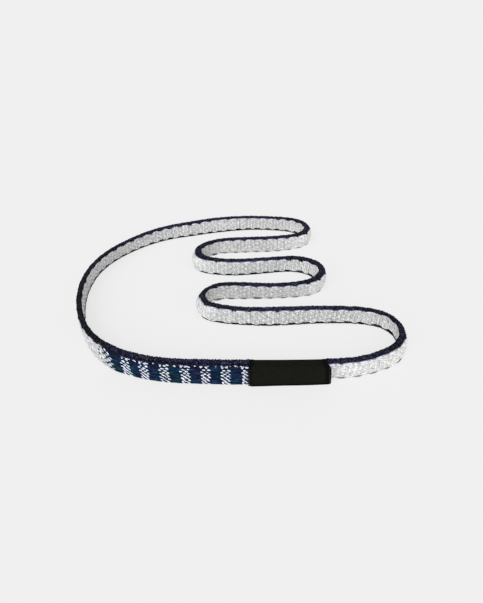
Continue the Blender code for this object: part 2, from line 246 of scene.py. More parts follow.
# Joint: rows from the middle of the upper edge down the outer face, and where they end
JOINT_ROW_PITCH = 0.87 * MM
JOINT_FIRST_ROW = -0.55 * MM
JOINT_ROW_COUNT = 11
JOINT_FIRST_INNER_ROW = 2
JOINT_TOP_END = 71 * MM
JOINT_TOP_REACH = 0.5 * MM
JOINT_FADE_END = LAP_LENGTH + 9.4 * MM
JOINT_END_SLOPE = 0.65
UNDER_FOLD_REACH = 3.7 * MM
COVERED_THREAD_SHARE = 0.25
JOINT_ROWS = JOINT_FIRST_ROW + JOINT_ROW_PITCH * np.arange(JOINT_ROW_COUNT)

# Blue yarns
YARN_LENGTH = 4.6 * MM
YARN_WIDTH = 0.86 * MM
YARN_HEIGHT = 0.17 * MM
YARN_PITCH = YARN_LENGTH * 0.8
YARN_SPANS = {1: (0.6 * MM, JOINT_FADE_END), -1: (LOOP_LENGTH + 0.4 * MM, STRAP_LENGTH - 0.6 * MM)}
YARN_JITTER = (0.3 * MM, 0.06, 0.25, radians(1.5))

# White threads of the tacks: a thread's length, width and slant, and the jitter of its place, reach,
# length, width, slant and height
TACK_SHIFT = -0.6 * MM
END_TACK_SHIFTS = (-0.45 * MM, -0.3 * MM)
TACK_HALF_WIDTH = 1.75 * MM
TACK_ROW_SHIFT = 0.76 * MM
TACK_APEX_ROW = 5
TACK_APEX = -0.6 * TACK_HALF_WIDTH
THREADS_EACH_WAY = 4
THREAD_PITCH = 1.75 * MM
THREAD_WIDTH = 0.66 * MM
THREAD_HEIGHT = 0.28 * MM
THREAD_INSET = 0.8 * MM
UPPER_THREAD = (1.25 * MM, THREAD_WIDTH, radians(12))
LOWER_THREAD = (1.55 * MM, THREAD_WIDTH, radians(30))
THREAD_JITTER = (0.2 * MM, 0.09 * MM, 0.2, 0.2, radians(12), 0.3)

# The joint's ragged end: level threads, and short blue yarns at places and reaches in mm
END_THREAD = (2.2 * MM, 0.52 * MM, radians(1))
END_THREAD_STARTS = (0.9 * MM, 0.1 * MM, -0.6 * MM)
END_THREADS_REACH = 5.6 * MM
END_THREAD_PITCH = 2.5 * MM
END_THREAD_JITTER = (0.2 * MM, 0.09 * MM, 0.2, 0.2, radians(5), 0.3)
END_YARNS = [(79.4, 1.9), (79.8, 3.0), (78.9, 4.1), (78.0, 5.4), (76.6, 6.6)]
END_YARN = (1.7 * MM, 0.5 * MM, THREAD_HEIGHT, radians(1), 0.0)

# Short white dashes along the top of the tacks
TOP_DASH = (1.6 * MM, 0.46 * MM, radians(8))
TOP_DASH_PLACES = (-1.45 * MM, 0.85 * MM, 3.2 * MM)
TOP_DASH_SHIFT = 0.62 * MM
TOP_DASH_JITTER = (0.2 * MM, 0.28 * MM, 0.45, 0.2, radians(12), 0.3)

# Label
LABEL_ROOM = 2.78 * MM
LABEL_WALL = 0.28 * MM
LABEL_TOP = 8.5 * MM
LABEL_BOTTOM = 0.06 * MM
LABEL_ROUNDING = 2.3 * MM
LABEL_CORNER = 0.8 * MM
LABEL_FOOT_TAPER = 0.36 * MM
LABEL_TAPER = 0.3 * MM
LABEL_STRETCH = 0.4 * MM
LABEL_SKEW_RIGHT = 1.1 * MM
LABEL_SKEW_LEFT = 0.45 * MM
LABEL_WAVE = 0.06 * MM
LABEL_WAVE_PITCH = 3.1 * MM
LABEL_STATIONS = 90
FOLD_STEPS = 8
PANEL_STEPS = 18
HEM_WIDTH = 1.8 * MM
LEFT_HEM_CUT = 0.8 * MM
HEM_HEIGHT = 0.14 * MM
HEM_FADE = 0.25 * MM
HEM_SHADE_FADE = 0.3 * MM
FOOT_HEM = 0.75 * MM
FOOT_HEM_FADE = 0.2 * MM
STITCH_PITCH = 0.72 * MM
STITCH_WIDTH = 0.42 * MM
STITCH_HEIGHT = 0.16 * MM
STITCH_SINK = 0.03 * MM
STITCH_JITTER = (0.06 * MM, radians(7))
LOWEST_STITCH = 0.6 * MM
HIGHEST_STITCH = LABEL_TOP - 0.7 * MM

# The line, length and slant of the stitches at each end of the label
STITCH_ENDS = {
    "left": (LABEL_LENGTH - LABEL_OVERHANG - 0.1 * MM, 1.05 * MM, 0.0),
    "right": (0.55 * MM - LABEL_OVERHANG, 1.05 * STITCH_PITCH, pi / 2),
}

# Cloth's shading
ROUGHNESS_SPREAD = 0.12
SHEEN_ROUGHNESS = 0.5
RELIEF_STRENGTH = 0.6
RELIEF_DEPTH = 0.02 * MM
FIBRE_SHIFT = 50

# Stage
FLOOR_HALF = 3.0
PALE = (0.871, 0.871, 0.871, 1.0)
FLOOR_GLOW_SHARE = 0.8
SKY_STRENGTH = 0.52


def spline_bends(spans, points):
    """Second derivatives at the points of a smooth closed curve through them."""
    before = np.roll(spans, 1)
    own = np.eye(len(points))
    matrix = 2 * (before + spans)[:, None] * own
    matrix += before[:, None] * np.roll(own, -1, axis=1) + spans[:, None] * np.roll(own, 1, axis=1)
    slopes = (np.roll(points, -1, axis=0) - points) / spans[:, None]
    return np.linalg.solve(matrix, 6 * (slopes - np.roll(slopes, 1, axis=0)))


def closed_course():
    """Fine points along the loop's centre line, scaled to its length, with the length run at each."""
    points = np.array(ROUTE) * ROUTE_UNIT
    spans = np.linalg.norm(np.roll(points, -1, axis=0) - points, axis=1)
    bends = spline_bends(spans, points)
    part = np.arange(SAMPLES_PER_SPAN)[None, :, None] / SAMPLES_PER_SPAN
    rest = 1 - part
    point, next_point, bend, next_bend = (
        v[:, None] for v in (points, np.roll(points, -1, axis=0), bends, np.roll(bends, -1, axis=0)))
    bulge = (rest**3 - rest) * bend + (part**3 - part) * next_bend
    fine = rest * point + part * next_point + bulge * spans[:, None, None] ** 2 / 6
    fine = np.append(fine.reshape(-1, 2), points[:1], axis=0)
    run = run_along(*fine.T)
    scale = LOOP_LENGTH / run[-1]
    return fine * scale, run * scale


def run_along(first, second):
    """The length run at each point of a line."""
    return np.concatenate([[0], np.cumsum(np.hypot(np.diff(first), np.diff(second)))])


def eased(run, length):
    """From 0 to 1 over a length, with soft ends."""
    part = np.clip(run / length, 0.0, 1.0)
    return part * part * (3 - 2 * part)


def blurred(values, reach, step):
    """A running mean over a length to each side, of values a step apart on the closed loop."""
    half = int(round(reach / step))
    window = np.hanning(2 * half + 3)[1:-1]
    padded = np.concatenate([values[-half:], values, values[:half]])
    return np.convolve(padded, window / window.sum(), "valid")


class Loop:
    """The loop's centre line with its outward direction and bend, at even steps of its length."""

    def __init__(self):
        course, run = closed_course()
        self.step = LOOP_LENGTH / LOOP_SAMPLES
        self.runs = np.arange(LOOP_SAMPLES) * self.step
        middle = np.column_stack([np.interp(self.runs, run, course[:, k]) for k in (0, 1)])
        tangent = np.roll(middle, -TANGENT_SAMPLES, axis=0) - np.roll(middle, TANGENT_SAMPLES, axis=0)
        tangent /= np.linalg.norm(tangent, axis=1)[:, None]
        self.outward = np.column_stack([-tangent[:, 1], tangent[:, 0]])
        heading = np.unwrap(np.arctan2(tangent[:, 1], tangent[:, 0]))
        turn = np.gradient(heading) / self.step
        turn[0] = turn[-1] = (turn[1] + turn[-2]) / 2
        self.bend = blurred(np.clip(-turn * BEND_RADIUS, -1, 1), BEND_BLUR, self.step)
        self.middle = middle - self.offset_to_frame(middle)
        self.top_lean, self.foot_lean = self.listed(LEANS, 0.1 * MM, 0.1 * MM)
        self.spread, self.belly = self.listed(SPREADS, 1.0, MM)
        self.dark, = self.listed(DARKS, 0.01 * MM)

    def listed(self, rows, *units):
        """Smooth quantities along the loop, from rows of a place and one value of each."""
        places, *columns = (np.array(v) for v in zip(*rows))
        return [blurred(np.interp(self.runs, places * MM, column * unit), LEAN_BLUR, self.step)
                for column, unit in zip(columns, units)]

    def offset_to_frame(self, middle):
        """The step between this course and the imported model's frame, from the strap's own box."""
        reach = self.outward * (LAYER_PITCH * (self.runs < LAP_LENGTH) + HALF_THICKNESS)[:, None]
        both = np.concatenate([middle + reach, middle - self.outward * HALF_THICKNESS])
        low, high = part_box("upper_edge_yarns")
        target = (np.array(low[:2]) + np.array(high[:2])) / 2
        return (both.min(axis=0) + both.max(axis=0)) / 2 - target

    def at(self, values, places):
        """A quantity of the loop at any places; the loop repeats."""
        if values.ndim > 1:
            return np.column_stack([self.at(v, places) for v in values.T])
        return np.interp(places, self.runs, values, period=LOOP_LENGTH)

    def points(self, places, out, up):
        """Points along the loop, so far outside its centre line and so high."""
        level = self.at(self.middle, places) + self.at(self.outward, places) * out[:, None]
        return np.column_stack([level, up])


LOOP = Loop()


class Section:
    """Half of a closed section, from the middle of its top down its outer side to the middle of its foot."""

    def __init__(self, half, bottom, top, squareness):
        angle = np.linspace(pi / 2, -pi / 2, SECTION_SAMPLES)
        power = 2 / squareness
        out = half * np.abs(np.cos(angle)) ** power
        rise = np.sign(np.sin(angle)) * np.abs(np.sin(angle)) ** power
        up = (bottom + top) / 2 + (top - bottom) / 2 * rise
        self.out, self.up, self.reach = out, up, run_along(out, up)
        slope_out, slope_up = np.gradient(out, self.reach), np.gradient(up, self.reach)
        size = np.hypot(slope_out, slope_up)
        self.normal_out, self.normal_up = -slope_up / size, slope_out / size

    def reach_at(self, level):
        """Reach down the face at which the section is at a level."""
        return np.interp(-level, -self.up, self.reach)


CORE = Section(CORE_HALF, bottom=0.04 * MM, top=8.15 * MM, squareness=6.5)


def lap_offset(places, share):
    """How far the strap lies outside the centre line: a layer's pitch over the lap, easing to none."""
    ease = FOOT_EASE + (TOP_EASE - FOOT_EASE) * share
    return LAYER_PITCH * (1 - eased(places - LAP_LENGTH - CLEARANCE, ease))


def lap_share(places):
    """1 on both layers of the lap, easing to 0 on the strap's free run between them."""
    outer = eased(places + LAP_END_EASE, LAP_END_EASE)
    outer = outer * (1 - eased(places - LAP_LENGTH, LAP_END_EASE))
    return np.maximum(outer, eased(places - LOOP_LENGTH + LAP_END_EASE, LAP_END_EASE))


def on_strap(places, reach, lift):
    """Points on the strap's skin, or lifted off it, at places along it and reaches round its section."""
    side = np.sign(reach)
    depth = np.abs(reach)
    in_lap = lap_share(places)
    free = 1 - in_lap
    half = np.interp(depth, CORE.reach, CORE.out) * (1 + LOOP.at(LOOP.spread, places) * free)
    out = side * (half + lift * np.interp(depth, CORE.reach, CORE.normal_out))
    up = np.interp(depth, CORE.reach, CORE.up) + lift * np.interp(depth, CORE.reach, CORE.normal_up)
    share = np.clip(up / WEBBING_WIDTH, 0, 1)
    out = out + LOOP.at(LOOP.top_lean, places) * share + LOOP.at(LOOP.foot_lean, places) * (1 - share)
    bow = 4 * share * (1 - share)
    out = out + LOOP.at(LOOP.belly, places) * LOOP.at(LOOP.bend, places) * bow * free
    past_label = eased(np.mod(places, LOOP_LENGTH) - SWELL_START, SWELL_FULL - SWELL_START)
    swell = in_lap * past_label * (side > 0)
    out = out + side * np.clip(half / CORE_HALF, 0, 1) * swell * (LAP_SWELL + LAP_FOOT_SWELL * (1 - share))
    past_lap = eased(places - LAP_LENGTH, CLEARANCE)
    filled = past_lap * share * np.clip(0.5 - out / (2 * CORE_HALF), 0, 1)
    out = out + lap_offset(places, share) * (1 - filled)
    return LOOP.points(places, out, up)


def placed(name, data):
    """A new object in the scene."""
    thing = bpy.data.objects.new(name, data)
    bpy.context.scene.collection.objects.link(thing)
    return thing


def new_piece(name, points, faces, maps, tones, finish, *nodes):
    """A smooth mesh piece on the only body, with a finish: a material, and a record slot that is not used.

    It has UV maps in millimetres and one tone for each point, and stands for the CAD nodes named.
    """
    material, slot = finish
    mesh = bpy.data.meshes.new(name)
    mesh.from_pydata(np.asarray(points).tolist(), [], faces)
    corners = np.zeros(len(mesh.loops), dtype=np.int32)
    mesh.loops.foreach_get("vertex_index", corners)
    for map_name, values in maps.items():
        layer = mesh.uv_layers.new(name=map_name)
        layer.data.foreach_set("uv", np.asarray(values, dtype=np.float32)[corners].ravel())
    tone = mesh.attributes.new("tone", "FLOAT", "POINT")
    tone.data.foreach_set("value", np.asarray(tones, dtype=np.float32))
    mesh.polygons.foreach_set("use_smooth", [True] * len(mesh.polygons))
    mesh.materials.append(material)
    mesh.update()
    piece = placed(name, mesh)
    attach(piece, "root")
    if nodes:
        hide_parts(*nodes)


def grid_faces(rows, width, closed, first=0):
    """Faces of a grid of points, row after row; a closed grid joins the ends of each row."""
    faces = []
    for start in range(first, first + (rows - 1) * width, width):
        for k in range(width if closed else width - 1):
            follow = (k + 1) % width
            faces.append((start + k, start + width + k, start + width + follow, start + follow))
    return faces


class Grain:
    """A closed lens with rounded ends: rings of points across it, from one end to the other."""

    ACROSS = (-1.0, -0.62, 0.0, 0.62, 1.0)
    TIP_POWER = 3
    TIP_ROUNDING = 0.6

    def __init__(self, ring_places, heights):
        rings, width = len(ring_places), len(self.ACROSS)
        place, share = np.repeat(ring_places, width), np.tile(self.ACROSS, rings)
        half = (1 - np.abs(place) ** self.TIP_POWER) ** self.TIP_ROUNDING
        self.along = np.concatenate([[-1.0], place, [1.0]])
        self.side = np.pad(share * half, 1)
        self.high = np.pad(np.repeat(heights, width) * np.sqrt(1 - share**2), 1)
        self.faces = grid_faces(rings, width, True, first=1)
        last = 1 + rings * width
        for k in range(width):
            follow = (k + 1) % width
            self.faces.append((0, 1 + k, 1 + follow))
            self.faces.append((last, last - width + follow, last - width + k))


def grains(name, grain, rows, tones, finish, *nodes, surface=on_strap, sink=FLOAT_SINK):
    """One piece made of many grains, each turned by its slant as seen on its face.

    rows holds their places, reaches, lengths, widths, heights and slants.
    """
    count, size = len(rows[0]), len(grain.along)
    place, reach, length, width, height, slant = (np.repeat(np.broadcast_to(v, count), size) for v in rows)
    a = np.tile(grain.along, count) * length / 2
    b = np.tile(grain.side, count) * width / 2
    side = np.where(reach < -TOP_HALF, -1.0, 1.0)
    place = place - side * (a * np.cos(slant) - b * np.sin(slant))
    reach = reach + side * (a * np.sin(slant) + b * np.cos(slant))
    points = surface(place, reach, np.tile(grain.high, count) * height - sink)
    faces = [tuple(v + i * size for v in face) for i in range(count) for face in grain.faces]
    own = np.repeat(CHANCE.uniform(0, FIBRE_SHIFT, count), size)
    maps = {"weave": np.column_stack([place, reach]) / MM,
            "fibre": np.column_stack([a / MM + own, b / MM + own])}
    new_piece(name, points, faces, maps, np.repeat(tones, size), finish, *nodes)


def jitters(count, amounts):
    """Random shifts, a row of them for each amount."""
    return [CHANCE.uniform(-v, v, count) for v in amounts]


def joined(blocks):
    """One array of each quantity, from blocks of grains whose quantities are arrays or single values."""
    return [np.concatenate(v) for v in zip(*(np.broadcast_arrays(*block) for block in blocks))]


# Materials


def fill(tree, made, inputs):
    """Gives a node's inputs, by name or number, fixed values, or outputs or whole nodes to feed them."""
    for key, value in inputs.items():
        if isinstance(value, bpy.types.Node):
            value = value.outputs[0]
        if isinstance(value, bpy.types.NodeSocket):
            tree.links.new(value, made.inputs[key])
        else:
            made.inputs[key].default_value = value


def node(tree, kind, inputs=None, **settings):
    """A new node with its settings and inputs."""
    made = tree.nodes.new("ShaderNode" + kind)
    for name, value in settings.items():
        setattr(made, name, value)
    fill(tree, made, inputs or {})
    return made


def uv_map(tree, name):
    return node(tree, "UVMap", uv_map=name)


def noise(tree, map_name, along, across, detail=3.0, roughness=0.6):
    """Noise on a UV map, with a scale along it and across for each millimetre."""
    vector = node(tree, "Mapping", {"Vector": uv_map(tree, map_name), "Scale": (along, across, 1.0)})
    return node(tree, "TexNoise", {"Vector": vector, "Scale": 1.0, "Detail": detail, "Roughness": roughness})


def ramp(tree, value, *stops):
    """Colours between stops, each a position and a colour, or one number for a grey."""
    made = node(tree, "ValToRGB", {"Fac": value})
    elements = made.color_ramp.elements
    while len(elements) < len(stops):
        elements.new(0.5)
    for element, (position, colour) in zip(elements, stops):
        element.position = position
        element.color = (*colour, 1.0) if isinstance(colour, tuple) else (colour, colour, colour, 1.0)
    return made


def mixed(tree, share, first, second, blend="MIX"):
    """A mix of two colours, each from the tree or fixed."""
    first, second = ((*v, 1.0) if isinstance(v, tuple) else v for v in (first, second))
    inputs = {0: share, 6: first, 7: second}
    return node(tree, "Mix", inputs, data_type="RGBA", blend_type=blend).outputs[2]


def multiplied(tree, product, *colours):
    for colour in colours:
        product = mixed(tree, 1.0, product, colour, "MULTIPLY")
    return product


def tone_of(tree):
    return node(tree, "Attribute", attribute_name="tone").outputs["Fac"]


def from_edge(tree, near, far):
    """From 1 at a reach near the upper edge to 0 at one further down, on either face, in millimetres."""
    split = node(tree, "SeparateXYZ", {"Vector": uv_map(tree, "weave")})
    depth = node(tree, "Math", {0: split.outputs["Y"]}, operation="ABSOLUTE")
    inputs = {"Value": depth, "From Min": near, "From Max": far, "To Min": 1.0, "To Max": 0.0}
    return node(tree, "MapRange", inputs)


def new_finish(slot, name, build, roughness, specular, sheen=0.0):
    """A cloth material and its record slot. build gives its colour and its height from the node tree."""
    material = bpy.data.materials.new(name)
    material.use_nodes = True
    tree = material.node_tree
    colour, height = build(tree)
    rough = node(tree, "MapRange", {
        "Value": height, "To Min": roughness + ROUGHNESS_SPREAD, "To Max": roughness - ROUGHNESS_SPREAD})
    relief = node(tree, "Bump", {"Height": height, "Strength": RELIEF_STRENGTH, "Distance": RELIEF_DEPTH})
    fill(tree, tree.nodes["Principled BSDF"], {
        "Base Color": colour, "Roughness": rough, "Normal": relief,
        "Specular IOR Level": specular, "Sheen Weight": sheen, "Sheen Roughness": SHEEN_ROUGHNESS})
    return material, slot


def white_fibre(tree):
    """Pale filaments, greyer in patches and between threads, with a cast of the dark edge near it."""
    threads = noise(tree, "fibre", 0.5, 9.0)
    patches = noise(tree, "weave", 0.16, 0.35, detail=2.0)
    streaks = ramp(tree, threads, (0.3, (0.76, 0.76, 0.75)), (0.62, 1.0))
    cloth = ramp(tree, patches, (0.36, (0.83, 0.84, 0.825)), (0.6, (0.93, 0.93, 0.92)))
    cast = mixed(tree, from_edge(tree, 1.4, 3.4), cloth, (0.84, 0.83, 0.96))
    # shade follows the floats' tone, which carries painted light and shade
    shade = ramp(tree, tone_of(tree), (0.0, (0.57, 0.575, 0.58)), (0.5, (0.80, 0.805, 0.81)), (1.0, 1.0))
    return multiplied(tree, cast, streaks, shade), threads


def ground_fibre(tree):
    """The fibre deep between floats: grey by painted shade, paler where stretched, dark under dark yarns."""
    threads = noise(tree, "weave", 2.2, 0.9)
    # grey is painted shade between floats; tone lifts it where stretched, darkens it under dark yarns
    grey = ramp(tree, threads, (0.35, (0.20, 0.20, 0.21)), (0.65, 0.42))
    shade = ramp(tree, tone_of(tree), (0.0, 1.7), (0.5, 1.0), (1.0, (0.012, 0.018, 0.06)))
    return multiplied(tree, grey, shade), threads


def navy_yarn(tree):
    """Near-black navy filaments with paler purple-grey flecks that are painted glints."""
    threads = noise(tree, "fibre", 0.9, 6.0)
    # paler purple-grey flecks: painted glints
    flecks = noise(tree, "fibre", 1.3, 1.6, detail=4.0, roughness=0.75)
    dark = ramp(tree, tone_of(tree), (0.0, (0.0016, 0.0022, 0.0026)), (0.3, (0.0038, 0.0044, 0.013)),
                (0.7, (0.0070, 0.0072, 0.038)), (1.0, (0.024, 0.023, 0.066)))
    pale = ramp(tree, flecks, (0.51, 0.0), (0.60, 1.0))
    glint_colour = ramp(tree, tone_of(tree), (0.05, (0.032, 0.036, 0.034)), (0.6, (0.098, 0.102, 0.180)))
    streaks = ramp(tree, threads, (0.3, 0.5), (0.7, 1.0))
    return multiplied(tree, mixed(tree, pale, dark, glint_colour), streaks), threads


def grey_dash(tree):
    """Dark yarn seen through the pale weave: grey where little of it shows."""
    threads = noise(tree, "fibre", 0.6, 5.0)
    return mixed(tree, tone_of(tree), (0.004, 0.004, 0.010), (0.24, 0.24, 0.25)), threads


def blue_yarn(tree):
    """Blue to teal yarns in patches along the joint, with worn, paler filaments."""
    threads = noise(tree, "fibre", 0.35, 7.0)
    patches = noise(tree, "weave", 0.2, 0.07, detail=2.0)
    wear = noise(tree, "fibre", 0.45, 1.7, roughness=0.7)
    cloth = ramp(tree, patches, (0.40, (0.0014, 0.023, 0.040)), (0.5, (0.0010, 0.0145, 0.052)),
                 (0.62, (0.0040, 0.009, 0.040)))
    streaks = ramp(tree, threads, (0.34, (0.45, 0.45, 0.5)), (0.68, (1.6, 1.6, 1.55)))
    shade = ramp(tree, tone_of(tree), (0.0, (0.35, 0.38, 0.42)), (1.0, (2.0, 1.8, 1.6)))
    worn = ramp(tree, wear, (0.40, (0.40, 0.42, 0.48)), (0.52, 1.0), (0.64, (6.0, 3.5, 2.5)))
    return multiplied(tree, cloth, streaks, shade, worn), threads


def white_thread(tree):
    """Bright twisted sewing thread."""
    twist = noise(tree, "fibre", 1.6, 4.0)
    pale = ramp(tree, twist, (0.3, (0.64, 0.68, 0.80)), (0.66, (0.89, 0.92, 0.99)))
    shade = ramp(tree, tone_of(tree), (0.0, (0.80, 0.80, 0.83)), (1.0, 1.0))
    return multiplied(tree, pale, shade), twist


def label_tape(tree):
    """Black tape with a fine rib across it and a faint slub."""
    ribs = node(tree, "TexWave", {
        "Vector": uv_map(tree, "weave"), "Scale": 0.95, "Distortion": 0.6, "Detail Scale": 2.0,
    }, wave_type="BANDS", bands_direction="Y").outputs["Fac"]
    slubs = noise(tree, "weave", 0.5, 2.4, detail=4.0)
    black = ramp(tree, slubs, (0.3, (0.0042, 0.0042, 0.0032)), (0.72, (0.0100, 0.0098, 0.0076)))
    rib = ramp(tree, ribs, (0.0, 0.7), (1.0, 1.25))
    hem = ramp(tree, tone_of(tree), (0.0, 0.35), (1.0, 1.0))
    return multiplied(tree, black, rib, hem), ribs


def black_thread(tree):
    twist = noise(tree, "fibre", 1.6, 4.0)
    return ramp(tree, twist, (0.3, 0.006), (0.7, (0.024, 0.024, 0.023))), twist


WHITE = new_finish("webbing", "webbing_white_fibre", white_fibre, roughness=0.5, specular=0.3, sheen=0.1)
GROUND = new_finish("webbing", "webbing_ground", ground_fibre, roughness=0.75, specular=0.1)
NAVY = new_finish("edge_yarn", "edge_yarn_navy", navy_yarn, roughness=0.65, specular=0.05)
DASH = new_finish("lower_edge_yarn", "lower_edge_dashes", grey_dash, roughness=0.7, specular=0.05)
BLUE = new_finish("joint_yarn", "joint_yarn_blue", blue_yarn, roughness=0.65, specular=0.05)
THREAD = new_finish("tack_thread", "tack_thread_white", white_thread, roughness=0.5, specular=0.3, sheen=0.1)
TAPE = new_finish("label", "label_tape_black", label_tape, roughness=0.75, specular=0.04)
BLACK_THREAD = new_finish("label_thread", "label_thread_black", black_thread, roughness=0.6, specular=0.08)

PLAIN_GRAIN = Grain((-0.85, -0.45, 0.0, 0.45, 0.85), (0.7, 0.95, 1.0, 0.95, 0.7))
WHITE_GRAIN = Grain((-0.8, -0.3, 0.3, 0.8), (0.62, 0.92, 1.0, 0.72))
WRAP_GRAIN = Grain((-0.95, -0.8, -0.62, -0.42, -0.2, 0.0, 0.2, 0.42, 0.62, 0.8, 0.95),
                   (0.6, 0.9, 1.0, 1.0, 0.95, 0.9, 0.95, 1.0, 1.0, 0.9, 0.6))


# Strap


def under_dark(places, reach):
    """1 where the woven ground lies under dark yarns, along the upper edge and on the joint's faces."""
    under_edge = 1 - eased(np.abs(reach) - UNDER_WRAPS_REACH, UNDER_WRAPS_FADE)
    joint_face = np.where(reach > 0, in_joint(places, 1, reach), in_joint(places, -1))
    return np.maximum(under_edge, joint_face)


def strap_core():
    """The woven strap under its floats, closed at both cut ends; its rings are finer round both edges."""
    places = np.linspace(0, STRAP_LENGTH, CORE_STATIONS)
    shares = np.concatenate([np.linspace(0, 0.15, 8), np.linspace(0.2, 0.8, 9), np.linspace(0.85, 1.0, 8)])
    reach = shares * CORE.reach[-1]
    ring = np.concatenate([reach, -reach[-2:0:-1]])
    width = len(ring)
    grid_place, grid_reach = np.repeat(places, width), np.tile(ring, len(places))
    points = on_strap(grid_place, grid_reach, 0.0)
    last = len(points) - width
    faces = grid_faces(len(places), width, True)
    faces += [tuple(range(width)), tuple(last + k for k in reversed(range(width)))]
    weave = np.column_stack([grid_place, grid_reach]) / MM
    # the ground's tone: less painted shade where a bend stretches the face, dark under dark yarns
    stretched = np.clip(np.sign(grid_reach) * LOOP.at(LOOP.bend, grid_place), 0, 1)
    tone = np.maximum(under_dark(grid_place, grid_reach), 0.5 * (1 - stretched))
    maps = {"weave": weave, "fibre": weave}
    new_piece("webbing_core", points, faces, maps, tone, GROUND, "webbing_strap")


def joint_end(reach):
    """Where the joint's own weave ends on the outer face: further along at the top than at the foot."""
    return JOINT_FADE_END - JOINT_END_SLOPE * np.abs(reach)


def in_joint(places, side, reach=0.0):
    """True where a face has the joint's own weave, or lies hidden against the lap's other layer."""
    if side > 0:
        return (places < joint_end(reach)) | (places > LOOP_LENGTH - OUTER_LAP_MARGIN)
    return (places < LAP_LENGTH - LAP_MARGIN) | (places > LOOP_LENGTH - LAP_MARGIN)


def repeats_along(shift):
    """Places one repeat of the weave apart, from one end of the strap to the other."""
    return np.arange(0, STRAP_LENGTH / WEAVE_REPEAT + 1) * WEAVE_REPEAT + shift


def woven_rows(side):
    """Places, reaches, sizes and tones of the floats down one face.

    In each row one float of three is proud and paler by a painted highlight, a column further on in the next
    row down. Lower floats, darker by painted shade, fill the places between them.
    """
    floats = np.arange(-1, STRAP_LENGTH / FLOAT_PITCH + 2)
    rows = np.arange(ROW_COUNT)
    kind = np.mod(floats[:, None] - side * rows[None, :], COLUMNS).astype(int).ravel()
    place = np.repeat(floats * FLOAT_PITCH, ROW_COUNT)
    level = np.tile(LOWEST_ROW + ROW_PITCH * rows[::-1], len(floats))
    places, levels, sizes, tones = joined([
        (place, level, np.array(FLOAT_SIZES)[kind], np.array(FLOAT_TONES)[kind]),
        (place + FLOAT_PITCH / 2, level - ROW_PITCH / 2, LOW_FLOAT_SIZE, LOW_FLOAT_TONE),
    ])
    return places, side * CORE.reach_at(levels), sizes, tones


def painted_light_tone(places, side):
    """Painted light as the floats' tone: palest near the lap and where a bend folds or stretches the face."""
    facing = np.clip(FACING_GAIN * np.abs(LOOP.at(LOOP.outward, places)[:, 1]), 0, 1)
    bend = side * LOOP.at(LOOP.bend, places)
    stretched = np.clip(bend, 0, 1) * facing
    folded = np.clip(-bend, 0, 1)
    near_lap = 1 - eased(np.abs(places - LOOP_LENGTH), NEAR_LAP_REACH)
    lit_tone = STRAIGHT_TONE + STRETCHED_TONE[side] * stretched + FOLDED_TONE * folded + NEAR_LAP_TONE * near_lap
    # painted shade greys the outer face past the joint
    return lit_tone - (np.interp(places / MM, *zip(*JOINT_SHADES)) if side > 0 else 0)


def white_floats(side):
    """Short slanted floats all over one face, pale ones below the dark edge, and a last row at the foot."""
    place, reach, size, tone = woven_rows(side)
    lobes = repeats_along(LUMP_SHIFTS[side] + WEAVE_REPEAT / 2)
    foot = repeats_along(-side * DASH_SHIFT + WEAVE_REPEAT / 2)
    foot_reach = side * CORE.reach_at(DASH_LEVEL)
    block = np.array(joined([
        (place, reach, FLOAT_LENGTH, FLOAT_WIDTH, FLOAT_SLANTS[side], size, tone),
        (lobes, side * LOBE_REACH, *LOBE),
        (foot, foot_reach, WEAVE_REPEAT - DASH_LENGTH, FLOAT_WIDTH, 0.0, 1.0, 0.0),
    ]))
    place, reach = block[:2]
    keep = (place > FLOAT_INSET) & (place < STRAP_LENGTH - FLOAT_INSET) & ~in_joint(place, side, reach)
    place, reach, length, width, slant, size, tone = block[:, keep]
    moved, dropped, longer, wider, higher, turned, paler = jitters(len(place), FLOAT_JITTER)
    place = place + moved
    rows = (place, reach + dropped, length * (1 + longer), width * (1 + wider),
            FLOAT_HEIGHT * size * (1 + higher), slant + turned)
    # painted light and shade along the strap and by kind of float, with a random spread
    tone = np.clip(painted_light_tone(place, side) + tone + paler, 0, 1)
    grains("webbing_floats_" + FACES[side], WHITE_GRAIN, rows, tone, WHITE)


def lump(places, side):
    """How far the dark yarns dip down a face, once in each repeat of the weave, some dips deeper."""
    turns = (places - LUMP_SHIFTS[side]) / WEAVE_REPEAT
    wave = 0.5 + 0.5 * np.cos(2 * pi * turns)
    depths = CHANCE.uniform(*DIP_DEPTHS, DIP_COUNT)
    return LUMP_DEPTH * (wave ** LUMP_SHARPNESS * depths[np.round(turns).astype(int) % DIP_COUNT])


